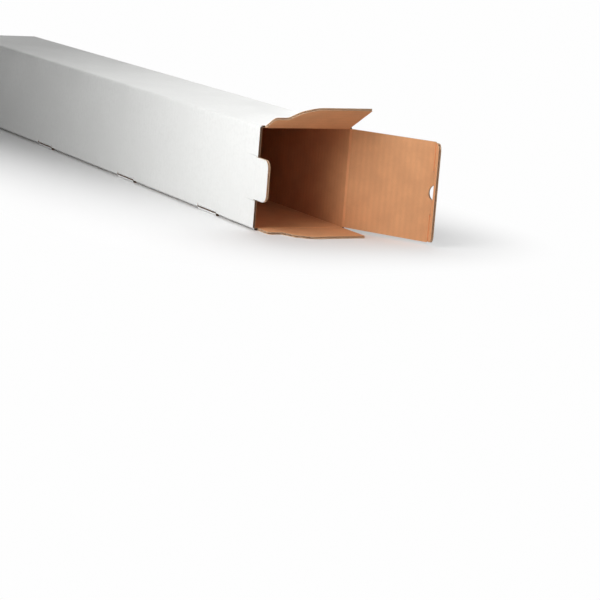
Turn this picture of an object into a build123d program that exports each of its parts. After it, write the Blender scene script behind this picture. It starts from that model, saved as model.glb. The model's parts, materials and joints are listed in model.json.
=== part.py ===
"""Square mailing tube of corrugated board, folded from one die-cut blank.

Millimetres, +Z up. The origin is on the underside, at the middle of the tube's length and width.
+X runs along the tube to its open end, -Y is the wall that carries the locking tongues, and +Y is
the wall that the end lids hang on. The end at -X is closed and locked, the end at +X is open.
"""

import os
from math import cos, radians, sin

from build123d import *

# Outer sizes of the closed tube
length = 860.0
section = 105.0

# The board, its folds and the room that folded layers leave each other
board = 2.5
fold_inner_radius = 0.3
layer_gap = 0.5
crease_gap = 0.2
corner_clearance = 0.4

# End lids, with their tuck flaps behind the tongue wall
lid_top_inset = 2.0
lid_bottom_inset = 2.9
lid_corner_radius = 1.0
tuck_reach = 12.0
tuck_clearance = 1.8
tuck_end_inset = 1.0
tuck_corner_radius = 7.5
thumb_radius = 8.5
thumb_centre_inset = 1.5

# Dust flaps, which fold in behind the end lids
dust_reach = 48.5
dust_back_clearance = 0.4
dust_corner_radius = 0.6
shoulder_reach = 21.8
shoulder_width = 21.4
shoulder_corner_radius = 4.0
ramp_width = 6.5
ramp_rise = 16.2
ramp_foot_radius = 3.5
ramp_head_radius = 8.0
crown_run = 12.6
crown_radius = 24.0

# Locking tongues, at both ends and along the seam
tongue_width = 42.0
tongue_reach = 24.2
tongue_tip_radius = 8.0
slit_clearance = 0.5
relief_length = 0.7
lip_inset = 0.3
lip_corner_radius = 2.0

# The seam under the tongue wall: a tuck flap along the bottom panel, held by tongues. Their
# middles lie at these shares of the way from the tube's middle to its ends
seam_edge_height = 3.2
seam_tuck_reach = 25.0
seam_end_room = 3.0
seam_taper = 6.0
seam_tongue_shares = (0.277, 0.7535)

# How the flaps of the open end stand, in degrees past lying in line with their panels
lid_open_angle = 29.0
tuck_bend_angle = 47.0
top_flap_angle = 29.5

half_section = section / 2
end_plane = length / 2
half_board = board / 2
bend_radius = half_board + fold_inner_radius
bend_outer_radius = board + fold_inner_radius

# Distances inward from an end plane, or up from the underside, to the middle of a layer of board
lid_layer = half_board
flap_layer = board + layer_gap + half_board
window_depth = flap_layer + bend_radius + relief_length

# Places across the tube of the middles of its walls and tuck flaps
tongue_wall_y = -half_section + half_board
lid_wall_y = half_section - half_board
top_wall_z = section - half_board
tuck_y = tongue_wall_y + board + tuck_clearance
seam_tuck_y = tongue_wall_y + board + layer_gap

# The hinge lines of the open end
lid_hinge_x = end_plane - lid_layer
flap_hinge_x = end_plane - flap_layer
lid_span = lid_wall_y - tuck_y
lid_bottom_z = lid_bottom_inset
lid_top_z = section - lid_top_inset

# Room beyond the board on each side of a cutting tool
past = 1.0
slit_width = tongue_width + 2 * slit_clearance


def slab(x_range, y_range, z_range):
    """A block between the given lowest and highest coordinates."""
    size = [high - low for low, high in (x_range, y_range, z_range)]
    low_corner = Location((x_range[0], y_range[0], z_range[0]))
    return low_corner * Box(*size, align=(Align.MIN, Align.MIN, Align.MIN))


def folded_board(points, plane, width):
    """Board of the given width whose middle follows the points, bent round at each of them."""
    path = FilletPolyline(*points, radius=bend_radius)
    return extrude(plane * trace(path, board), amount=width)


def outline(points, radii, plane, thickness):
    """Flat board cut to a closed outline, with a radius for each corner after the first."""
    edge = FilletPolyline(*points, radius=radii)
    closing = Line(points[-1], points[0])
    face = make_face([*edge.edges(), *closing.edges()])
    return extrude(plane * face, amount=thickness / 2, both=True)


def root_bead(start, end):
    """The round edge of a flap along its hinge line."""
    run = Vector(*end) - Vector(*start)
    return Plane(origin=start, z_dir=run) * Cylinder(
        half_board, run.length, align=(Align.CENTER, Align.CENTER, Align.MIN)
    )


def dust_outline():
    """Points across the tube and away from the hinge, and corner radii, of a dust flap."""
    near = tuck_y + half_board + corner_clearance
    far = half_section - board - dust_back_clearance
    foot = -half_section + shoulder_width
    head = foot + ramp_width
    points = [
        (near, 0),
        (near, shoulder_reach),
        (foot, shoulder_reach),
        (head, shoulder_reach + ramp_rise),
        (head + crown_run, dust_reach),
        (far, dust_reach),
        (far, 0),
    ]
    radii = [
        shoulder_corner_radius,
        ramp_foot_radius,
        ramp_head_radius,
        crown_radius,
        dust_corner_radius,
    ]
    return points, radii


def tongue_outline(root):
    """Points along and away from the root line, and corner radii, of a locking tongue."""
    side = tongue_width / 2
    points = [(-side, root), (-side, tongue_reach), (side, tongue_reach), (side, root)]
    return points, [tongue_tip_radius, tongue_tip_radius]


def lock_window(depth, inward):
    """Opening for one tongue in the frame of a lock: X along the fold, Y inward, Z off the lid."""
    half = slit_width / 2
    return slab((-half, half), (-past, inward), (-past, depth))


def lock_lip(inward):
    """The edge of a closed lid between the ends of its slit, turned up over the tongue's bend."""
    half = tongue_width / 2
    lip = slab((-half, half), (lip_inset, inward), (0, board))
    outer_edge = lip.edges().filter_by(Axis.X).group_by(Axis.Y)[0].sort_by(Axis.Z)[0]
    return fillet(outer_edge, lip_corner_radius)


def lock_tongue():
    """A tongue bent through its slit, to lie on the inner face of a closed lid."""
    half = tongue_width / 2
    tip = half_board + tongue_reach
    points = [(half_board, window_depth), (half_board, flap_layer), (tip, flap_layer)]
    bent = folded_board(points, Plane.YZ.offset(-half), tongue_width)
    profile, radii = tongue_outline(-half_board - past)
    mask = outline(profile, radii, Plane.XY.offset(flap_layer), 2 * window_depth)
    return bent & (Location((0, half_board, 0)) * mask)


def locks():
    """The frames of every closed lock: those along the seam, and the one at the closed end."""
    seam = []
    for share in seam_tongue_shares:
        for x in (-share * end_plane, share * end_plane):
            frame = Plane((x, -half_section, 0), x_dir=(1, 0, 0), z_dir=(0, 0, 1))
            seam.append((frame, seam_tuck_y))
    end_origin = (-end_plane, -half_section, half_section)
    end = (Plane(end_origin, x_dir=(0, 0, -1), z_dir=(1, 0, 0)), tuck_y)
    return [*seam, end]


def walls():
    """The four panels and the seam's tuck flap, as one folded strip along the tube."""
    side_end = end_plane - board
    points = [
        (tongue_wall_y, seam_edge_height),
        (tongue_wall_y, top_wall_z),
        (lid_wall_y, top_wall_z),
        (lid_wall_y, half_board),
        (seam_tuck_y, half_board),
        (seam_tuck_y, seam_tuck_reach),
    ]
    return folded_board(points, Plane.YZ.offset(-side_end), 2 * side_end)


def seam_tuck_trim():
    """What is cut off the ends of the seam's tuck flap, so that it clears the end tuck flaps."""
    far = end_plane + past
    near = end_plane - lid_layer - tuck_reach - seam_end_room
    top = seam_tuck_reach + past
    profile = make_face(
        Polyline((near, board), (far, board), (far, top), (near - seam_taper, top), close=True)
    )
    trim = extrude(
        Plane.XZ.offset(-seam_tuck_y) * profile, amount=half_board + layer_gap / 2, both=True
    )
    return trim + mirror(trim, about=Plane.YZ)


def open_end_trim():
    """What is cut off the panels at the open end, to leave room for the flaps' hinges."""
    inner = half_section - board
    beyond = end_plane + past
    flap_root = flap_hinge_x - half_board - crease_gap
    lid_root = lid_hinge_x - half_board - crease_gap
    panels = slab((flap_root, beyond), (-inner, inner), (-past, section + past))
    lid_wall = slab((lid_root, beyond), (inner, half_section + past), (-past, section + past))
    lock = Plane((end_plane, -half_section, half_section), x_dir=(0, 0, 1), z_dir=(-1, 0, 0))
    tongue = lock * lock_window(end_plane - flap_root, board + layer_gap / 2)
    return [panels, lid_wall, tongue]


def closed_end_trim():
    """What is cut off the panels at the closed end, where they fold into its flaps."""
    inner = half_section - board
    beyond = -end_plane - past
    panel_end = -end_plane + flap_layer + bend_radius
    lid_wall_end = -end_plane + bend_outer_radius
    panels = slab((beyond, panel_end), (-inner, inner), (-past, section + past))
    lid_wall = slab((beyond, lid_wall_end), (inner, half_section + past), (-past, section + past))
    return [panels, lid_wall]


def closed_dust_flaps():
    """The two dust flaps of the closed end, each one piece with the panel that it folds from."""
    flap_x = -end_plane + flap_layer
    start = flap_x + shoulder_reach
    plane = Plane.XZ.offset(-half_section)
    points = [(start, top_wall_z), (flap_x, top_wall_z), (flap_x, top_wall_z - dust_reach)]
    strip = folded_board(points, plane, section)
    across, radii = dust_outline()
    profile = [(y, top_wall_z - reach) for y, reach in across]
    profile[0] = (across[0][0], section + past)
    profile[-1] = (across[-1][0], section + past)
    mask = outline(profile, radii, Plane.YZ.offset(flap_x), 4 * shoulder_reach)
    top = strip & mask
    middle = Plane.XY.offset(half_section)
    return top + mirror(top, about=middle)


def closed_lid():
    """The lid of the closed end and its tuck flap, one piece with the wall that they fold from."""
    lid_x = -end_plane + lid_layer
    start = lid_x + bend_radius + past
    points = [
        (start, lid_wall_y),
        (lid_x, lid_wall_y),
        (lid_x, tuck_y),
        (lid_x + tuck_reach, tuck_y),
    ]
    return folded_board(points, Plane.XY.offset(lid_bottom_z), lid_top_z - lid_bottom_z)


def thumb_cutter(edge_to_centre, frame):
    """A round cutter for the thumb hole, on the axis of the frame that it is given."""
    return frame * Location((0, edge_to_centre, 0)) * Cylinder(thumb_radius, board + layer_gap)


def tube_body():
    """The whole blank without the flaps of the open end: panels, seam, and the closed end."""
    body = walls() - seam_tuck_trim()
    for trim in [*open_end_trim(), *closed_end_trim()]:
        body -= trim
    body += closed_dust_flaps()
    body += closed_lid()
    for frame, tuck in locks():
        inward = tuck + half_section + bend_radius
        body -= frame * lock_window(window_depth, inward)
        body += frame * lock_lip(inward)
        body += frame * lock_tongue()
    end_frame = locks()[-1][0]
    body -= thumb_cutter(thumb_centre_inset, end_frame.offset(lid_layer))
    return body


def dust_flap():
    """A dust flap lying in line with its panel, hinged on the Y axis and reaching along +X."""
    across, radii = dust_outline()
    profile = [(reach, y) for y, reach in across]
    plate = outline(profile, radii, Plane.XY, board)
    return plate + root_bead((0, across[0][0], 0), (0, across[-1][0], 0))


def top_dust_flap():
    """The top panel's dust flap, standing up from the opening."""
    turned = Rotation(0, -top_flap_angle, 0) * dust_flap()
    return Location((flap_hinge_x, 0, top_wall_z)) * turned


def bottom_dust_flap():
    """The bottom panel's dust flap, lying flat in front of the opening."""
    return Location((flap_hinge_x, 0, half_board)) * dust_flap()


def end_lid():
    """The lid of the open end, with its slit and thumb hole, swung past the wall it hangs on."""
    plate_end = lid_span - half_board - crease_gap
    lip_end = lid_span + board + tuck_clearance - half_board - layer_gap
    points = [
        (0, lid_bottom_z),
        (plate_end, lid_bottom_z),
        (plate_end, lid_top_z),
        (0, lid_top_z),
    ]
    plate = outline(points, [lid_corner_radius] * 2, Plane.XZ, board)
    half = tongue_width / 2
    lip = slab(
        (plate_end, lip_end),
        (-half_board, half_board),
        (half_section - half, half_section + half),
    )
    bead = root_bead((0, 0, lid_bottom_z), (0, 0, lid_top_z))
    thumb_x = lid_wall_y + half_section - thumb_centre_inset
    face = Plane((thumb_x, 0, half_section), x_dir=(0, 0, 1), z_dir=(0, 1, 0))
    lid = plate + lip + bead - thumb_cutter(0, face)
    return Location((lid_hinge_x, lid_wall_y, 0), (0, 0, lid_open_angle)) * lid


def tuck_flap():
    """The flap along the lid's free edge, notched for the tongue and bent towards the opening."""
    low = lid_bottom_z + tuck_end_inset
    high = lid_top_z - tuck_end_inset
    points = [(0, low), (tuck_reach, low), (tuck_reach, high), (0, high)]
    plate = outline(points, [tuck_corner_radius] * 2, Plane.XZ, board)
    notch_depth = flap_layer + half_board + slit_clearance - lid_layer
    half = slit_width / 2
    flap = plate + root_bead((0, 0, low), (0, 0, high))
    flap -= slab(
        (-board, notch_depth),
        (-board, board),
        (half_section - half, half_section + half),
    )
    angle = radians(lid_open_angle)
    hinge_x = lid_hinge_x + lid_span * cos(angle)
    hinge_y = lid_wall_y + lid_span * sin(angle)
    return Location((hinge_x, hinge_y, 0), (0, 0, lid_open_angle - tuck_bend_angle)) * flap


def locking_tongue():
    """The tongue of the open end, straight in line with its wall."""
    points, radii = tongue_outline(0)
    profile = [(reach, half_section + along) for along, reach in points]
    plate = outline(profile, radii, Plane.XZ, board)
    low = half_section - tongue_width / 2
    high = half_section + tongue_width / 2
    tongue = plate + root_bead((0, 0, low), (0, 0, high))
    return Location((flap_hinge_x, tongue_wall_y, 0)) * tongue


def main():
    os.makedirs("parts", exist_ok=True)
    nodes = {
        "tube_body": tube_body(),
        "top_dust_flap": top_dust_flap(),
        "bottom_dust_flap": bottom_dust_flap(),
        "end_lid": end_lid(),
        "tuck_flap": tuck_flap(),
        "locking_tongue": locking_tongue(),
    }
    for name, shape in nodes.items():
        export_step(shape, f"parts/{name}.step")


main()
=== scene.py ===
"""Looks of the square mailing tube: corrugated board, white outside and brown kraft inside.

Metres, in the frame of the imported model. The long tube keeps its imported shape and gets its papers
by where each face lies on the board. The flaps of the open end are cut again as real corrugated
board, two liners on a fluted medium, and a pressed crease joins each of them to its neighbour.
"""

import json
from math import acos, atan2, ceil, cos, pi, radians, sin, tan

import bmesh
import bpy
from mathutils import Matrix, Vector
from mathutils.bvhtree import BVHTree
from mathutils.geometry import delaunay_2d_cdt


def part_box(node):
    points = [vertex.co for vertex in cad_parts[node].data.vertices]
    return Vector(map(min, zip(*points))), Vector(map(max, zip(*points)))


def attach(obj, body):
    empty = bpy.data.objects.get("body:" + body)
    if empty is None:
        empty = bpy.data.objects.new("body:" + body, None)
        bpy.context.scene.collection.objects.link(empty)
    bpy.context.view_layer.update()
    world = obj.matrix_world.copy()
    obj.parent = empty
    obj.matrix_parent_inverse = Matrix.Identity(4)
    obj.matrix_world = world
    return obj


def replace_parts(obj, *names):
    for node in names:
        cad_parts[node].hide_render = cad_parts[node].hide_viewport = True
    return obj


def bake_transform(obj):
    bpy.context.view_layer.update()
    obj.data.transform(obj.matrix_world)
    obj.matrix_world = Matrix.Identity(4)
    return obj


bl_info = {
    "name": "Mailing Tube",
    "version": (1, 0, 0),
    "blender": (4, 5, 0),
    "location": "3D View > Sidebar > Mailing Tube",
    "description": "Dresses a square mailing tube in its papers and sets it on a pale floor",
    "category": "Object",
}

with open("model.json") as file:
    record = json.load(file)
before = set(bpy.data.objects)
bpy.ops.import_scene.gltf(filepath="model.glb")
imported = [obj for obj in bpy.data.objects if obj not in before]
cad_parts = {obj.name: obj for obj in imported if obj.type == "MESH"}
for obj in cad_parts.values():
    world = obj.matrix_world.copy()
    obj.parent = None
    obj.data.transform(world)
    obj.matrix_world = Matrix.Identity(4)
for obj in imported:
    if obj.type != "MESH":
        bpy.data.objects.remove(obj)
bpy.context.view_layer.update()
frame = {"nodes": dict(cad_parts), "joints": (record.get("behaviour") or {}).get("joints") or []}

# The tube's section, and the middles of its folds
tube_low, tube_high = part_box("tube_body")
section = tube_high.z
half_section = section / 2
folds = {joint["name"]: joint for joint in frame["joints"]}

# The board, and how far on each side of a fold's line it is pressed thinner
board = 0.0025
half_board = board / 2
crease_reach = 0.00145

# Outlines of the flaps of the open end
lid_span = 0.0982
lid_low = 0.0029
lid_high = 0.103
lid_corner_radius = 0.001
lip_reach = 0.10075
thumb_radius = 0.0085
thumb_centre = 0.10225
tuck_reach = 0.012
tuck_end_inset = 0.001
tuck_corner_radius = 0.0075
tuck_notch_depth = 0.0047
dust_near = -0.0453
dust_far = 0.0496
dust_reach = 0.0485
dust_corner_radius = 0.0006
shoulder_reach = 0.0218
shoulder_corner_radius = 0.004
ramp_foot = -0.0311
ramp_head = -0.0246
ramp_head_reach = 0.038
ramp_foot_radius = 0.0035
ramp_head_radius = 0.008
crown_start = -0.012
crown_radius = 0.024
tongue_width = 0.042
slit_width = 0.043
tongue_reach = 0.0242
tongue_tip_radius = 0.008

# The score lines on the front wall, which run on from the sides of the open end's tongue
score_height = 0.0222
score_width = 0.0006
score_start = 0.4
score_end = 0.424

# How far in from the seam's corner painted shade darkens the tube's brown paper
seam_shade_reach = 0.003

# How the flaps stand at rest
lid_angle = radians(29)
tuck_angle = radians(-18)
top_flap_angle = radians(29.5)

# Fineness of the made shapes
arc_step = radians(9)
flute_steps = 10
crease_steps = 12

# Half the side of the floor, how far from the tube it becomes plain white, and how white
floor_reach = 20.0
floor_fade = 0.22
floor_glow = 0.99

# How far the camera sees
sight = 100.0

# How much of a direction has to lie along an axis to count as running that way
mostly = 0.5

# How far behind a face its measuring ray starts, and the longest way that counts as one board
skin = board / 50
one_board = board * 1.1

# How high above the underside the cut edges at the seam lie
seam_height = 2 * board

# How close points are taken as one, and the kind of filling that keeps inside an outline
weld = 1e-7
INSIDE = 1

# Places in the list of a corrugated board's papers
WHITE, KRAFT, EDGE, CREASE_HIGHLIGHT = range(4)

# The sockets of a mix node that take two colours, and the one that gives the mixed colour
FIRST_COLOUR, SECOND_COLOUR = 6, 7
MIXED_COLOUR = 2


class MailingTubeBoard(bpy.types.PropertyGroup):
    """The make of the corrugated board and the colours of its papers."""

    liner: bpy.props.FloatProperty(
        name="Liner", description="Thickness of each paper liner", default=0.0003, unit="LENGTH"
    )
    medium: bpy.props.FloatProperty(
        name="Medium", description="Thickness of the fluted paper", default=0.0002, unit="LENGTH"
    )
    flute_pitch: bpy.props.FloatProperty(
        name="Flute Pitch", description="Length of one wave", default=0.0063, unit="LENGTH"
    )
    outer_dip: bpy.props.FloatProperty(
        name="Outer Dip",
        description="Depth of a crease on the white side",
        default=0.0003,
        unit="LENGTH",
    )
    inner_dip: bpy.props.FloatProperty(
        name="Inner Dip",
        description="Depth of a crease on the brown side",
        default=0.0007,
        unit="LENGTH",
    )
    white: bpy.props.FloatVectorProperty(
        name="White",
        description="Colour of the outer liner",
        default=(0.86, 0.865, 0.85),
        size=3,
        subtype="COLOR",
    )
    kraft: bpy.props.FloatVectorProperty(
        name="Kraft",
        description="Colour of the inner liner",
        default=(0.76, 0.375, 0.18),
        size=3,
        subtype="COLOR",
    )
    core: bpy.props.FloatVectorProperty(
        name="Core",
        description="Colour of the fluted paper",
        default=(0.8, 0.56, 0.37),
        size=3,
        subtype="COLOR",
    )


class MailingTubeStudio(bpy.types.PropertyGroup):
    """The floor, the light and the camera."""

    floor: bpy.props.FloatVectorProperty(
        name="Floor",
        description="Colour of the floor",
        default=(0.9, 0.9, 0.9),
        size=3,
        subtype="COLOR",
    )
    ambient: bpy.props.FloatProperty(
        name="Ambient", description="Strength of the light from all round", default=0.12
    )
    front_power: bpy.props.FloatProperty(
        name="Front Lamp", description="Power of the lamp in front", default=2.6, unit="POWER"
    )
    front_place: bpy.props.FloatVectorProperty(
        name="Front Lamp Place",
        description="Where the lamp in front of the open end stands",
        default=(0.5, -0.45, 0.38),
        size=3,
        subtype="TRANSLATION",
    )
    top_power: bpy.props.FloatProperty(
        name="Top Lamp", description="Power of the lamp above", default=0.94, unit="POWER"
    )
    top_place: bpy.props.FloatVectorProperty(
        name="Top Lamp Place",
        description="Where the lamp above the tube hangs",
        default=(0.12, 0.15, 0.5),
        size=3,
        subtype="TRANSLATION",
    )
    side_power: bpy.props.FloatProperty(
        name="Side Lamp",
        description="Power of the lamp off the open end",
        default=0.45,
        unit="POWER",
    )
    side_place: bpy.props.FloatVectorProperty(
        name="Side Lamp Place",
        description="Where the lamp off the open end stands",
        default=(1.0, -0.1, 0.35),
        size=3,
        subtype="TRANSLATION",
    )
    back_power: bpy.props.FloatProperty(
        name="Back Lamp", description="Power of the lamp behind", default=4.0, unit="POWER"
    )
    back_place: bpy.props.FloatVectorProperty(
        name="Back Lamp Place",
        description="Where the lamp behind the closed end stands",
        default=(-0.8, 0.9, 0.5),
        size=3,
        subtype="TRANSLATION",
    )
    lamp_size: bpy.props.FloatProperty(
        name="Lamp Size", description="Side of each soft lamp", default=0.4, unit="LENGTH"
    )
    camera_place: bpy.props.FloatVectorProperty(
        name="Camera Place",
        description="Where the camera stands",
        default=(2.2348, -1.0235, 0.355),
        size=3,
        subtype="TRANSLATION",
    )
    yaw: bpy.props.FloatProperty(
        name="Yaw",
        description="Turn of the camera from looking along the tube",
        default=radians(29.71),
        subtype="ANGLE",
    )
    pitch: bpy.props.FloatProperty(
        name="Pitch", description="Tilt of the camera down", default=radians(11.59), subtype="ANGLE"
    )
    roll: bpy.props.FloatProperty(
        name="Roll", description="Lean of the camera", default=radians(-4.57), subtype="ANGLE"
    )
    lens: bpy.props.FloatProperty(
        name="Lens", description="Focal length", default=126.0, unit="CAMERA"
    )


class Shader:
    """The nodes of one material or world, added and joined one at a time."""

    def __init__(self, name, library="materials"):
        self.owner = getattr(bpy.data, library).new(name)
        self.owner.use_nodes = True
        self.tree = self.owner.node_tree
        self.tree.nodes.clear()

    def add(self, kind, inputs=None, **settings):
        """A new node with the given settings, its inputs joined to sockets or set to values."""
        node = self.tree.nodes.new(kind)
        for key, value in settings.items():
            setattr(node, key, value)
        for key, value in (inputs or {}).items():
            if isinstance(value, bpy.types.NodeSocket):
                self.tree.links.new(value, node.inputs[key])
            else:
                node.inputs[key].default_value = value
        return node

    def math(self, operation, first, second=0.0):
        """The result of one sum on sockets or numbers."""
        node = self.add("ShaderNodeMath", {0: first, 1: second}, operation=operation)
        return node.outputs[0]

    def gap(self, first, second):
        """How far apart two values are."""
        return self.math("ABSOLUTE", self.math("SUBTRACT", first, second))

    def place(self):
        """Object coordinates, and each of their three axes."""
        point = self.add("ShaderNodeTexCoord").outputs["Object"]
        axes = self.add("ShaderNodeSeparateXYZ", {0: point})
        return point, axes.outputs

    def noise(self, point, scale, detail=4.0, stretch=(1, 1, 1)):
        """Noise from 0 to 1, its blotches drawn out along each axis where stretch is under 1."""
        mapping = self.add("ShaderNodeMapping", {"Vector": point, "Scale": stretch})
        node = self.add(
            "ShaderNodeTexNoise",
            {"Vector": mapping.outputs[0], "Scale": scale, "Detail": detail},
        )
        return node.outputs["Fac"]

    def band(self, value, low, high, start=0.0, end=1.0):
        """Runs smoothly from start to end as the value goes from low to high."""
        node = self.add(
            "ShaderNodeMapRange",
            {"Value": value, "From Min": low, "From Max": high, "To Min": start, "To Max": end},
            interpolation_type="SMOOTHSTEP",
        )
        return node.outputs[0]

    def mix(self, share, first, second):
        """One colour passing into another as the share goes from 0 to 1."""
        node = self.add(
            "ShaderNodeMix",
            {"Factor": share, FIRST_COLOUR: as_rgba(first), SECOND_COLOUR: as_rgba(second)},
            data_type="RGBA",
        )
        return node.outputs[MIXED_COLOUR]

    def bump(self, height, distance, strength=1.0, below=None):
        """A bump of the given height, laid over another one where there is one."""
        inputs = {"Height": height, "Distance": distance, "Strength": strength}
        if below is not None:
            inputs["Normal"] = below
        return self.add("ShaderNodeBump", inputs).outputs[0]

    def seen(self):
        """1 for what the camera sees, straight or in a reflection, and 0 for light on its way."""
        paths = self.add("ShaderNodeLightPath").outputs
        straight = self.math("MAXIMUM", paths["Is Camera Ray"], paths["Is Glossy Ray"])
        return self.math("MAXIMUM", straight, paths["Is Transmission Ray"])

    def finish(self, colour, roughness, normal, specular):
        """Joins the colour, gloss and bump to one surface."""
        surface = self.add(
            "ShaderNodeBsdfPrincipled",
            {
                "Base Color": colour,
                "Roughness": roughness,
                "Normal": normal,
                "Specular IOR Level": specular,
            },
        )
        self.add("ShaderNodeOutputMaterial", {"Surface": surface.outputs[0]})
        return self.owner


def as_rgba(colour):
    """A colour with its alpha, or a socket as it is."""
    if isinstance(colour, bpy.types.NodeSocket):
        return colour
    return (*colour, 1.0)


def tinted(colour, factor):
    """A colour made lighter or darker."""
    return tuple(channel * factor for channel in colour)


def flute_wave(shader, along, settings):
    """The wave of the flutes along an axis, from -1 to 1."""
    return shader.math("SINE", shader.math("MULTIPLY", along, 2 * pi / settings.flute_pitch))


def washboard(shader, along, settings):
    """The faint ridges of the flutes under a liner, from 0 to 1."""
    return shader.band(flute_wave(shader, along, settings), -1.0, 1.0)


def tongue_scores(shader, axes):
    """Two faint score lines on the front wall, back from the tongue's corners, from 0 to 1."""
    up = shader.gap(axes[2], half_section)
    off = shader.gap(up, score_height)
    line = shader.band(off, 0.0, score_width, start=1.0, end=0.0)
    length = shader.band(axes[0], score_start, score_end)
    front = shader.band(axes[1], -half_section, board - half_section, start=1.0, end=0.0)
    return shader.math("MULTIPLY", line, shader.math("MULTIPLY", length, front))


def white_liner(settings):
    """Matt white paper with faint grey mottling, over the ridges of the flutes, with painted shade
    along the ridges and in the score lines.
    """
    shader = Shader("white_liner")
    point, axes = shader.place()
    white = settings.white
    mottling = shader.band(shader.noise(point, scale=260.0, detail=6.0), low=0.42, high=0.7)
    clouds = shader.noise(point, scale=18.0, detail=3.0)
    colour = shader.mix(mottling, white, tinted(white, 0.955))
    colour = shader.mix(shader.band(clouds, low=0.35, high=0.75), colour, tinted(white, 0.97))
    fibres = shader.noise(point, scale=900.0, detail=2.0, stretch=(1.0, 0.25, 0.25))
    shown = shader.band(fibres, low=0.68, high=0.8, start=0.0, end=0.12)
    colour = shader.mix(shown, colour, settings.kraft)
    ridges = washboard(shader, axes[0], settings)
    # Painted shade: a faint darker band along each flute ridge.
    colour = shader.mix(shader.math("MULTIPLY", ridges, 0.35), colour, tinted(white, 0.965))
    scores = tongue_scores(shader, axes)
    # Painted shade: the score lines are darkened as the shade in their grooves, besides their bump
    # below.
    colour = shader.mix(shader.math("MULTIPLY", scores, 0.5), colour, tinted(white, 0.5))
    grain = shader.noise(point, scale=1400.0, detail=3.0)
    normal = shader.bump(ridges, distance=0.00004)
    normal = shader.bump(scores, distance=-0.0003, below=normal)
    normal = shader.bump(grain, distance=0.00003, strength=0.7, below=normal)
    roughness = shader.band(clouds, low=0.3, high=0.7, start=0.5, end=0.62)
    return shader.finish(colour, roughness, normal, specular=0.3)


def seam_shade(shader, axes):
    """The band of painted shade along the inner corner at the seam, from 0 to 1."""
    forward = shader.math("MULTIPLY", axes[1], -1.0)
    down = shader.math("SUBTRACT", half_section, axes[2])
    corner = half_section - board
    near = shader.math("MINIMUM", forward, down)
    return shader.band(near, corner - seam_shade_reach, corner - seam_shade_reach / 2)


def kraft_paper(name, tone, settings, painted_shade=None):
    """Brown kraft paper with fibres, flecks and the ridges of the flutes, with painted shade along
    the ridges.

    Where the last argument is given, it gives the share of painted shade, a much darker brown.
    """
    shader = Shader(name)
    point, axes = shader.place()
    clouds = shader.noise(point, scale=45.0, detail=5.0)
    cloudy = shader.band(clouds, low=0.3, high=0.7)
    colour = shader.mix(cloudy, tinted(tone, 1.04), tinted(tone, 0.93))
    ridges = washboard(shader, axes[0], settings)
    # Painted shade: a darker band along each flute ridge.
    colour = shader.mix(shader.math("MULTIPLY", ridges, 0.25), colour, tinted(tone, 0.86))
    fibres = shader.noise(point, scale=1900.0, detail=5.0, stretch=(1.0, 0.55, 0.55))
    fibrous = shader.band(fibres, low=0.52, high=0.75, start=0.0, end=0.4)
    colour = shader.mix(fibrous, colour, tinted(tone, 0.7))
    flecks = shader.noise(point, scale=900.0, detail=2.0, stretch=(0.8, 1.0, 1.0))
    flecked = shader.band(flecks, low=0.68, high=0.76, start=0.0, end=0.3)
    colour = shader.mix(flecked, colour, tinted(tone, 1.4))
    # Painted shade: the brown paper is darkened to a fifth of its tone where the share is given.
    if painted_shade is not None:
        colour = shader.mix(painted_shade(shader, axes), colour, tinted(tone, 0.2))
    crinkles = shader.noise(point, scale=150.0, detail=4.0, stretch=(0.7, 1.0, 1.0))
    normal = shader.bump(ridges, distance=0.00006)
    normal = shader.bump(crinkles, distance=0.0002, strength=0.6, below=normal)
    normal = shader.bump(fibres, distance=0.00004, strength=0.8, below=normal)
    roughness = shader.band(fibres, low=0.3, high=0.7, start=0.72, end=0.88)
    return shader.finish(colour, roughness, normal, specular=0.3)


def kraft_liner(settings):
    """The brown paper of the flaps' inner sides."""
    return kraft_paper("kraft_liner", settings.kraft, settings)


def crease_highlight_kraft(settings):
    """The brown paper of the creases, painted lighter as a highlight along the fold."""
    # Painted highlight: the creases' brown side is a lighter copy of the kraft.
    return kraft_paper("crease_highlight_kraft", tinted(settings.kraft, 1.15), settings)


def tube_kraft(settings):
    """The brown paper inside the long tube, with painted shade along its seam."""
    return kraft_paper("tube_kraft", settings.kraft, settings, seam_shade)


def core_paper(settings):
    """The rough brown paper of the medium and of the liners' cut edges."""
    shader = Shader("core_paper")
    point = shader.place()[0]
    core = settings.core
    fibres = shader.noise(point, scale=1500.0, detail=4.0)
    fibrous = shader.band(fibres, low=0.3, high=0.7)
    colour = shader.mix(fibrous, tinted(core, 1.15), tinted(core, 0.8))
    normal = shader.bump(fibres, distance=0.00008)
    roughness = shader.band(fibres, low=0.3, high=0.7, start=0.82, end=0.95)
    return shader.finish(colour, roughness, normal, specular=0.2)


def medium_line(shader, point, axes, along, settings):
    """Where the fluted paper runs across a cut edge, as a share of the board's thickness."""
    if along is None:
        drift = shader.noise(point, scale=60.0, detail=2.0)
        return shader.band(drift, low=0.3, high=0.7, start=0.2, end=0.5)
    wave = flute_wave(shader, axes[along], settings)
    swing = 0.5 - settings.liner / board
    return shader.math("ADD", shader.math("MULTIPLY", wave, swing), 0.5)


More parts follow.
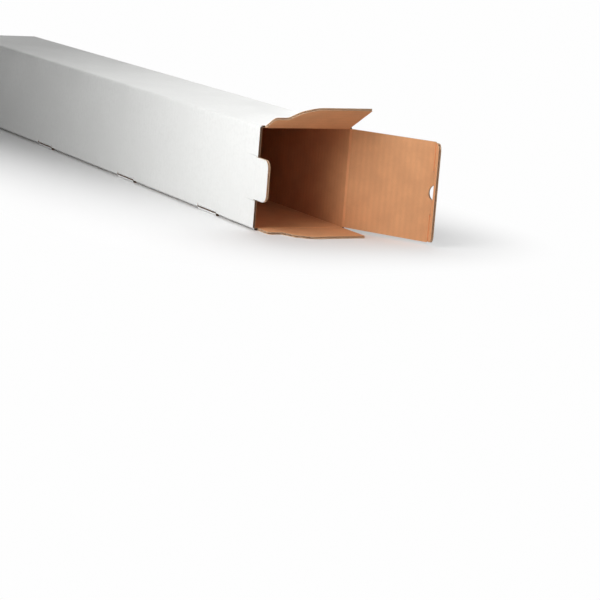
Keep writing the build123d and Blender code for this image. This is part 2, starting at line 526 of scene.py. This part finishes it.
def cut_edge(name, settings, depth_of, along=None):
    """A cut edge of the long tube: two liners and the medium between them, with painted shade that
    makes them darker than their papers.

    depth_of gives the distance out from the board's inner face. Where the edge crosses the flutes,
    along is the axis that their wave runs along.
    """
    shader = Shader(name)
    point, axes = shader.place()
    depth = shader.math("DIVIDE", depth_of(shader, axes), board)
    liner_share = settings.liner / board
    blur = 0.03
    # Painted shade: the hollows between the liners are nearly black, and the medium and the liners'
    # cut faces are darker copies of their papers.
    hollow_shade = tinted(settings.core, 0.07)
    fluted = tinted(settings.core, 0.42)
    fibres = shader.noise(point, scale=1500.0, detail=4.0)
    off = shader.gap(depth, medium_line(shader, point, axes, along, settings))
    medium = shader.band(off, low=0.04, high=0.09, start=1.0, end=0.0)
    inner = shader.band(depth, liner_share, liner_share + blur, start=1.0, end=0.0)
    outer = shader.band(depth, 1.0 - liner_share - blur, 1.0 - liner_share)
    colour = shader.mix(medium, hollow_shade, fluted)
    colour = shader.mix(inner, colour, tinted(settings.kraft, 0.55))
    colour = shader.mix(outer, colour, tinted(settings.kraft, 0.75))
    fibrous = shader.band(fibres, low=0.45, high=0.75, start=0.0, end=0.4)
    colour = shader.mix(fibrous, colour, fluted)
    raised = shader.math("ADD", medium, shader.math("ADD", inner, outer))
    normal = shader.bump(raised, distance=0.0002)
    return shader.finish(colour, roughness=0.9, normal=normal, specular=0.2)


def wall_depth(shader, axes):
    """How far out of the inner faces of the four walls a point lies."""
    across = shader.math("ABSOLUTE", axes[1])
    up = shader.gap(axes[2], half_section)
    ring = shader.math("MAXIMUM", across, up)
    return shader.math("SUBTRACT", ring, half_section - board)


def closed_lid_depth(shader, axes):
    """How far out of the inner face of the closed end's lid a point lies."""
    return shader.math("SUBTRACT", shader.math("MULTIPLY", axes[0], -1.0), -tube_low.x - board)


def board_papers(settings):
    """The papers of a corrugated board and its creases, made once."""
    makers = {
        "white_liner": white_liner,
        "kraft_liner": kraft_liner,
        "core_paper": core_paper,
        "crease_highlight_kraft": crease_highlight_kraft,
    }
    return [bpy.data.materials.get(name) or make(settings) for name, make in makers.items()]


def arc(centre, radius, start, sweep):
    """Points round part of a circle, both ends included."""
    steps = max(2, ceil(abs(sweep) / arc_step))
    turns = [start + sweep * step / steps for step in range(steps + 1)]
    return [(centre[0] + radius * cos(turn), centre[1] + radius * sin(turn)) for turn in turns]


def rounded(corners):
    """An outline through corners of (reach, along, radius), rounded where there is a radius."""
    points = []
    for index, (reach, along, radius) in enumerate(corners):
        if not radius:
            points.append((reach, along))
            continue
        corner = Vector((reach, along))
        before = (Vector(corners[index - 1][:2]) - corner).normalized()
        after = (Vector(corners[(index + 1) % len(corners)][:2]) - corner).normalized()
        half = acos(before.dot(after)) / 2
        centre = corner + (before + after).normalized() * radius / sin(half)
        first = corner + before * radius / tan(half) - centre
        last = corner + after * radius / tan(half) - centre
        start = atan2(first.y, first.x)
        sweep = (atan2(last.y, last.x) - start + pi) % (2 * pi) - pi
        points.extend(arc(centre, radius, start, sweep))
    return points


def flat_sheet(outline):
    """A flat sheet of triangles with the given outline."""
    corners = [Vector(point) for point in outline]
    filled = delaunay_2d_cdt(corners, [], [list(range(len(corners)))], INSIDE, weld)
    points, triangles = filled[0], filled[2]
    sheet = bmesh.new()
    verts = [sheet.verts.new((*point, 0)) for point in points]
    for triangle in triangles:
        sheet.faces.new([verts[index] for index in triangle])
    return sheet


def thicken(sheet, thickness):
    """Gives a sheet its thickness, half on each side."""
    bmesh.ops.translate(sheet, verts=sheet.verts[:], vec=(0, 0, -thickness / 2))
    grown = bmesh.ops.extrude_face_region(sheet, geom=sheet.faces[:])
    raised = [item for item in grown["geom"] if isinstance(item, bmesh.types.BMVert)]
    bmesh.ops.translate(sheet, verts=raised, vec=(0, 0, thickness))
    bmesh.ops.recalc_face_normals(sheet, faces=sheet.faces[:])


def liner_sheet(outline, height, thickness, paper, side):
    """A flat liner at the given height, with its paper on its upper side, 1, or its lower, -1."""
    sheet = flat_sheet(outline)
    thicken(sheet, thickness)
    bmesh.ops.translate(sheet, verts=sheet.verts[:], vec=(0, 0, height))
    for face in sheet.faces:
        face.material_index = paper if face.normal.z * side > mostly else EDGE
    return sheet


def fluted_sheet(outline, swing, thickness, pitch):
    """The medium: a sheet waved along its reach."""
    sheet = flat_sheet(outline)
    step = pitch / flute_steps
    reaches = [reach for reach, _ in outline]
    first = ceil(min(reaches) / step)
    last = ceil(max(reaches) / step)
    for line in range(first, last):
        geometry = sheet.verts[:] + sheet.edges[:] + sheet.faces[:]
        cut = (line * step, 0, 0)
        bmesh.ops.bisect_plane(sheet, geom=geometry, dist=weld, plane_co=cut, plane_no=(1, 0, 0))
    for vert in sheet.verts:
        vert.co.z = -swing * sin(2 * pi * vert.co.x / pitch)
    thicken(sheet, thickness)
    for face in sheet.faces:
        face.material_index = EDGE
    return sheet


def merged(name, sheets):
    """One mesh of several sheets."""
    whole = bmesh.new()
    for sheet in sheets:
        part = bpy.data.meshes.new(name)
        sheet.to_mesh(part)
        sheet.free()
        whole.from_mesh(part)
        bpy.data.meshes.remove(part)
    mesh = bpy.data.meshes.new(name)
    whole.to_mesh(mesh)
    whole.free()
    return mesh


def add_piece(name, mesh, settings, place=None):
    """A new object with the board's papers, at the given place."""
    piece = bpy.data.objects.new(name, mesh)
    bpy.context.scene.collection.objects.link(piece)
    for paper in board_papers(settings):
        mesh.materials.append(paper)
    if place is not None:
        piece.matrix_world = place
    return piece


def corrugated_board(name, outline, place, settings):
    """A flap cut out of corrugated board, its white side towards its own +Z."""
    liner_height = half_board - settings.liner / 2
    swing = half_board - settings.liner - settings.medium / 2
    sheets = [
        liner_sheet(outline, liner_height, settings.liner, WHITE, 1),
        fluted_sheet(outline, swing, settings.medium, settings.flute_pitch),
        liner_sheet(outline, -liner_height, settings.liner, KRAFT, -1),
    ]
    return add_piece(name, merged(name, sheets), settings, place)


def flap_place(fold, reach, outward):
    """The place of a flap: X away from its fold, Y along the fold, Z out of its white side."""
    away = Vector(reach).normalized()
    out = Vector(outward).normalized()
    place = Matrix((away, out.cross(away), out)).transposed().to_4x4()
    line = Vector(folds[fold]["pos_m"])
    upright = abs(folds[fold]["axis"][2]) > mostly
    place.translation = (line.x, line.y, half_section if upright else line.z)
    return place


def swung_place(fold, angle):
    """Board that leaves an upright fold, swung out by an angle from the back wall's line."""
    return flap_place(fold, (cos(angle), sin(angle), 0), (-sin(angle), cos(angle), 0))


def lid_wall_place():
    """The back wall, carried straight on past the lid's fold."""
    return swung_place("lid_fold", 0)


def lid_place():
    """The lid, swung past the wall it hangs on."""
    return swung_place("lid_fold", lid_angle)


def lid_edge_place():
    """The lid's board, carried straight on past the tuck flap's fold."""
    return swung_place("tuck_fold", lid_angle)


def tuck_place():
    """The tuck flap, bent from the lid towards the opening."""
    return swung_place("tuck_fold", tuck_angle)


def top_panel_place():
    """The top panel, carried straight on past its dust flap's fold."""
    return flap_place("top_flap_fold", (1, 0, 0), (0, 0, 1))


def top_flap_place():
    """The top dust flap, standing up from the opening."""
    reach = (cos(top_flap_angle), 0, sin(top_flap_angle))
    return flap_place("top_flap_fold", reach, (-sin(top_flap_angle), 0, cos(top_flap_angle)))


def bottom_flap_place():
    """The bottom dust flap and the bottom panel, in one plane."""
    return flap_place("bottom_flap_fold", (1, 0, 0), (0, 0, -1))


def tongue_place():
    """The tongue and the wall it is cut from, in one plane."""
    return flap_place("tongue_fold", (1, 0, 0), (0, -1, 0))


def lid_ends():
    """The places along the lid's fold of its lower and upper edges."""
    return half_section - lid_low, half_section - lid_high


def lid_outline():
    """The lid, with the lip of its slit and the thumb notch in that lip."""
    low, high = lid_ends()
    plate_end = lid_span - crease_reach
    half = tongue_width / 2
    bite = acos((thumb_centre - lip_reach) / thumb_radius)
    notch = arc((thumb_centre, 0), thumb_radius, pi - bite, 2 * bite)
    corners = [
        (crease_reach, low, 0),
        (plate_end, low, lid_corner_radius),
        (plate_end, half, 0),
        (lip_reach, half, 0),
        *[(reach, along, 0) for reach, along in notch],
        (lip_reach, -half, 0),
        (plate_end, -half, 0),
        (plate_end, high, lid_corner_radius),
        (crease_reach, high, 0),
    ]
    return rounded(corners)


def tuck_outline():
    """The tuck flap, notched in the middle for the tongue."""
    low = lid_ends()[0] - tuck_end_inset
    high = lid_ends()[1] + tuck_end_inset
    half = slit_width / 2
    corners = [
        (crease_reach, low, 0),
        (tuck_reach, low, tuck_corner_radius),
        (tuck_reach, high, tuck_corner_radius),
        (crease_reach, high, 0),
        (crease_reach, -half, 0),
        (tuck_notch_depth, -half, 0),
        (tuck_notch_depth, half, 0),
        (crease_reach, half, 0),
    ]
    return rounded(corners)


def dust_outline(side):
    """A dust flap. Side is 1 where the flap's own Y runs with the tube's, and -1 against it."""
    corners = [
        (crease_reach, dust_near, 0),
        (shoulder_reach, dust_near, shoulder_corner_radius),
        (shoulder_reach, ramp_foot, ramp_foot_radius),
        (ramp_head_reach, ramp_head, ramp_head_radius),
        (dust_reach, crown_start, crown_radius),
        (dust_reach, dust_far, dust_corner_radius),
        (crease_reach, dust_far, 0),
    ]
    return rounded([(reach, side * along, radius) for reach, along, radius in corners])


def tongue_outline():
    """A locking tongue with its rounded tip."""
    half = tongue_width / 2
    corners = [
        (crease_reach, -half, 0),
        (tongue_reach, -half, tongue_tip_radius),
        (tongue_reach, half, tongue_tip_radius),
        (crease_reach, half, 0),
    ]
    return rounded(corners)


def crease_section(before, after, settings):
    """Pairs of points across a crease, on its white side and on its brown side."""
    fold = before.translation
    pairs = []
    for step in range(crease_steps + 1):
        share = 2 * step / crease_steps - 1
        run = after if share > 0 else before
        turned = (share + 1) / 2
        out = (before.col[2] * (1 - turned) + after.col[2] * turned).to_3d().normalized()
        middle = fold + run.col[0].to_3d() * share * crease_reach
        press = (1 - share**2) ** 2
        white_side = middle + out * (half_board - settings.outer_dip * press)
        brown_side = middle - out * (half_board - settings.inner_dip * press)
        pairs.append((white_side, brown_side))
    return pairs


def crease_mesh(name, before, after, spans, settings):
    """The pressed board across a fold, along each of the given spans of it."""
    pairs = crease_section(before, after, settings)
    ring = [pair[0] for pair in pairs] + [pair[1] for pair in reversed(pairs)]
    along = before.col[1].to_3d()
    strip = bmesh.new()
    for low, high in spans:
        near = [strip.verts.new(point + along * low) for point in ring]
        far = [strip.verts.new(point + along * high) for point in ring]
        for index in range(len(ring)):
            following = (index + 1) % len(ring)
            side = strip.faces.new((near[index], near[following], far[following], far[index]))
            if index < crease_steps:
                side.material_index = WHITE
            elif index == crease_steps or index == len(ring) - 1:
                side.material_index = EDGE
            else:
                side.material_index = CREASE_HIGHLIGHT
        for cap in (near, far):
            strip.faces.new(cap).material_index = EDGE
    bmesh.ops.recalc_face_normals(strip, faces=strip.faces[:])
    mesh = bpy.data.meshes.new(name)
    strip.to_mesh(mesh)
    strip.free()
    return mesh


def add_crease(name, before, after, spans, settings):
    """A crease shaped between two pieces of board as they stand."""
    piece = add_piece(name, crease_mesh(name, before, after, spans, settings), settings)
    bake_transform(piece)


def edge_kind(centre, normal):
    """Which of the long tube's cut edges a face belongs to, by its place and direction."""
    outer_face = half_section - board
    if centre.x < tube_low.x + board and abs(normal.z) > mostly:
        return "closed_lid_edge"
    if centre.y < -outer_face and normal.z < -mostly and centre.z < seam_height:
        return "seam_edge"
    return "wall_edge"


def is_lip(centre, normal):
    """Whether a face is the folded edge of a panel between the ends of a lock's slit."""
    in_panel = centre.z < board or centre.x < tube_low.x + board
    return in_panel and normal.y < -mostly and centre.y < -half_section + half_board


def tube_paper(tree, centre, normal):
    """Which paper or cut edge a face of the long tube shows, by how deep the board behind it is."""
    through = tree.ray_cast(centre - normal * skin, -normal)[3]
    outward = normal.dot(centre - Vector((0, 0, half_section))) > 0
    if is_lip(centre, normal):
        return "white_liner"
    if through is None or through > one_board:
        return edge_kind(centre, normal)
    return "white_liner" if outward else "tube_kraft"


class MAILINGTUBE_OT_dress_body(bpy.types.Operator):
    """Give the long tube its white outside, brown inside and cut edges."""

    bl_idname = "mailing_tube.dress_body"
    bl_label = "Dress Tube Body"

    def execute(self, context):
        settings = context.scene.mailing_tube_board
        body = frame["nodes"]["tube_body"]
        mesh = body.data
        papers = {
            "white_liner": board_papers(settings)[WHITE],
            "tube_kraft": tube_kraft(settings),
            "wall_edge": cut_edge("wall_edge", settings, wall_depth),
            "seam_edge": cut_edge("seam_edge", settings, wall_depth, along=0),
            "closed_lid_edge": cut_edge("closed_lid_edge", settings, closed_lid_depth, along=1),
        }
        places = list(papers)
        mesh.materials.clear()
        for paper in papers.values():
            mesh.materials.append(paper)
        tree = BVHTree.FromPolygons(
            [vert.co for vert in mesh.vertices], [face.vertices for face in mesh.polygons]
        )
        for face in mesh.polygons:
            face.material_index = places.index(tube_paper(tree, face.center, face.normal))
        return {"FINISHED"}


class MAILINGTUBE_OT_add_lid(bpy.types.Operator):
    """Cut the lid of the open end out of corrugated board."""

    bl_idname = "mailing_tube.add_lid"
    bl_label = "Add End Lid"

    def execute(self, context):
        settings = context.scene.mailing_tube_board
        lid = corrugated_board("lid_board", lid_outline(), lid_place(), settings)
        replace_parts(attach(lid, "lid"), "end_lid")
        return {"FINISHED"}


class MAILINGTUBE_OT_add_tuck_flap(bpy.types.Operator):
    """Cut the flap along the lid's free edge out of corrugated board."""

    bl_idname = "mailing_tube.add_tuck_flap"
    bl_label = "Add Tuck Flap"

    def execute(self, context):
        settings = context.scene.mailing_tube_board
        tuck = corrugated_board("tuck_board", tuck_outline(), tuck_place(), settings)
        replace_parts(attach(tuck, "tuck"), "tuck_flap")
        return {"FINISHED"}


class MAILINGTUBE_OT_add_dust_flaps(bpy.types.Operator):
    """Cut the two dust flaps of the open end out of corrugated board."""

    bl_idname = "mailing_tube.add_dust_flaps"
    bl_label = "Add Dust Flaps"

    def execute(self, context):
        settings = context.scene.mailing_tube_board
        top = corrugated_board("top_flap_board", dust_outline(1), top_flap_place(), settings)
        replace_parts(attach(top, "top_flap"), "top_dust_flap")
        bottom = corrugated_board(
            "bottom_flap_board", dust_outline(-1), bottom_flap_place(), settings
        )
        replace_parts(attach(bottom, "bottom_flap"), "bottom_dust_flap")
        return {"FINISHED"}


class MAILINGTUBE_OT_add_tongue(bpy.types.Operator):
    """Cut the locking tongue of the open end out of corrugated board."""

    bl_idname = "mailing_tube.add_tongue"
    bl_label = "Add Locking Tongue"

    def execute(self, context):
        settings = context.scene.mailing_tube_board
        tongue = corrugated_board("tongue_board", tongue_outline(), tongue_place(), settings)
        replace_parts(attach(tongue, "tongue"), "locking_tongue")
        return {"FINISHED"}


class MAILINGTUBE_OT_add_creases(bpy.types.Operator):
    """Join each flap to its neighbour with a pressed crease."""

    bl_idname = "mailing_tube.add_creases"
    bl_label = "Add Creases"

    def execute(self, context):
        settings = context.scene.mailing_tube_board
        low, high = lid_ends()
        half_slit = slit_width / 2
        half_tongue = tongue_width / 2
        tuck_spans = [(high + tuck_end_inset, -half_slit), (half_slit, low - tuck_end_inset)]
        top, bottom = top_panel_place(), bottom_flap_place()
        tongue = tongue_place()
        creases = {
            "lid_crease": (("tube", "lid"), lid_wall_place(), lid_place(), [(high, low)]),
            "tuck_crease": (("lid", "tuck"), lid_edge_place(), tuck_place(), tuck_spans),
            "top_flap_crease": (
                ("tube", "top_flap"),
                top,
                top_flap_place(),
                [(dust_near, dust_far)],
            ),
            "bottom_flap_crease": (
                ("tube", "bottom_flap"),
                bottom,
                bottom,
                [(-dust_far, -dust_near)],
            ),
            "tongue_crease": (("tube", "tongue"), tongue, tongue, [(-half_tongue, half_tongue)]),
        }
        for name, (bodies, before, after, spans) in creases.items():
            add_crease(name, before, after, spans, settings)
        return {"FINISHED"}


def floor_paint(settings):
    """A pale floor that takes the tube's shadow near it, and passes into white further off."""
    shader = Shader("pale_floor")
    axes = shader.place()[1]
    beyond = [
        shader.math("MAXIMUM", shader.math("SUBTRACT", shader.math("ABSOLUTE", axis), half), 0.0)
        for axis, half in ((axes[0], tube_high.x), (axes[1], half_section))
    ]
    squares = [shader.math("MULTIPLY", side, side) for side in beyond]
    away = shader.math("SQRT", shader.math("ADD", *squares))
    white = shader.band(away, 0.0, floor_fade)
    seen = shader.seen()
    paint = shader.add("ShaderNodeBsdfDiffuse", {"Color": as_rgba(settings.floor)})
    glow = shader.add("ShaderNodeEmission", {"Strength": floor_glow})
    share = shader.math("MULTIPLY", seen, white)
    mixed = shader.add("ShaderNodeMixShader", {0: share, 1: paint.outputs[0], 2: glow.outputs[0]})
    shader.add("ShaderNodeOutputMaterial", {"Surface": mixed.outputs[0]})
    return shader.owner


def light_world(settings):
    """Even light from all round, and a white background for the camera."""
    shader = Shader("studio_air", "worlds")
    strength = shader.band(shader.seen(), 0.0, 1.0, settings.ambient, 1.0)
    air = shader.add("ShaderNodeBackground", {"Color": (1, 1, 1, 1), "Strength": strength})
    shader.add("ShaderNodeOutputWorld", {"Surface": air.outputs[0]})
    bpy.context.scene.world = shader.owner


def hang_lamp(name, power, size, place, aim):
    """A soft square lamp, aimed at a point and out of the camera's sight."""
    lamp = bpy.data.lights.new(name, "AREA")
    lamp.shape = "SQUARE"
    lamp.size = size
    lamp.energy = power
    holder = bpy.data.objects.new(name, lamp)
    bpy.context.scene.collection.objects.link(holder)
    holder.visible_camera = False
    way = Vector(aim) - Vector(place)
    turn = way.to_track_quat("-Z", "Y").to_matrix().to_4x4()
    holder.matrix_world = Matrix.Translation(Vector(place)) @ turn


def set_camera(settings):
    """The camera at the photograph's place and angle."""
    level = Vector((-cos(settings.yaw), sin(settings.yaw), 0))
    side = Vector((sin(settings.yaw), cos(settings.yaw), 0))
    up = Vector((0, 0, 1))
    forward = level * cos(settings.pitch) - up * sin(settings.pitch)
    down = -up * cos(settings.pitch) - level * sin(settings.pitch)
    right = side * cos(settings.roll) + down * sin(settings.roll)
    below = down * cos(settings.roll) - side * sin(settings.roll)
    data = bpy.data.cameras.new("camera")
    data.lens = settings.lens
    data.clip_end = sight
    camera = bpy.data.objects.new("camera", data)
    bpy.context.scene.collection.objects.link(camera)
    turn = Matrix((right, -below, -forward)).transposed().to_4x4()
    camera.matrix_world = Matrix.Translation(Vector(settings.camera_place)) @ turn
    bpy.context.scene.camera = camera


class MAILINGTUBE_OT_set_stage(bpy.types.Operator):
    """Lay the floor, hang the lamps and stand the camera."""

    bl_idname = "mailing_tube.set_stage"
    bl_label = "Set Stage"

    def execute(self, context):
        settings = context.scene.mailing_tube_studio
        mesh = bpy.data.meshes.new("floor")
        slab = bmesh.new()
        bmesh.ops.create_grid(slab, x_segments=1, y_segments=1, size=floor_reach)
        slab.to_mesh(mesh)
        slab.free()
        mesh.materials.append(floor_paint(settings))
        floor = bpy.data.objects.new("floor", mesh)
        context.scene.collection.objects.link(floor)
        light_world(settings)
        open_end = (tube_high.x, 0, half_section)
        middle = (0, 0, half_section)
        lamps = (
            ("front_lamp", settings.front_power, settings.front_place, open_end),
            ("top_lamp", settings.top_power, settings.top_place, open_end),
            ("side_lamp", settings.side_power, settings.side_place, open_end),
            ("back_lamp", settings.back_power, settings.back_place, middle),
        )
        for name, power, place, aim in lamps:
            hang_lamp(name, power, settings.lamp_size, place, aim)
        set_camera(settings)
        context.scene.view_settings.view_transform = "Standard"
        return {"FINISHED"}


class MAILINGTUBE_PT_panel(bpy.types.Panel):
    """The steps that dress the tube, and the sizes and colours they use."""

    bl_idname = "MAILINGTUBE_PT_panel"
    bl_label = "Mailing Tube"
    bl_space_type = "VIEW_3D"
    bl_region_type = "UI"
    bl_category = "Mailing Tube"

    def draw(self, context):
        for settings in (context.scene.mailing_tube_board, context.scene.mailing_tube_studio):
            box = self.layout.box()
            for name in settings.__annotations__:
                box.prop(settings, name)
        for step in steps:
            self.layout.operator(step.bl_idname)


steps = (
    MAILINGTUBE_OT_dress_body,
    MAILINGTUBE_OT_add_lid,
    MAILINGTUBE_OT_add_tuck_flap,
    MAILINGTUBE_OT_add_dust_flaps,
    MAILINGTUBE_OT_add_tongue,
    MAILINGTUBE_OT_add_creases,
    MAILINGTUBE_OT_set_stage,
)
classes = (MailingTubeBoard, MailingTubeStudio, *steps, MAILINGTUBE_PT_panel)


def register():
    """Adds the steps, the panel and their settings to Blender."""
    for item in classes:
        bpy.utils.register_class(item)
    bpy.types.Scene.mailing_tube_board = bpy.props.PointerProperty(type=MailingTubeBoard)
    bpy.types.Scene.mailing_tube_studio = bpy.props.PointerProperty(type=MailingTubeStudio)


def unregister():
    """Takes them out again."""
    del bpy.types.Scene.mailing_tube_studio
    del bpy.types.Scene.mailing_tube_board
    for item in reversed(classes):
        bpy.utils.unregister_class(item)


def main():
    """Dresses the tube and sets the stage."""
    register()
    bpy.ops.mailing_tube.dress_body()
    bpy.ops.mailing_tube.add_lid()
    bpy.ops.mailing_tube.add_tuck_flap()
    bpy.ops.mailing_tube.add_dust_flaps()
    bpy.ops.mailing_tube.add_tongue()
    bpy.ops.mailing_tube.add_creases()
    bpy.ops.mailing_tube.set_stage()


if __name__ == "__main__":
    main()
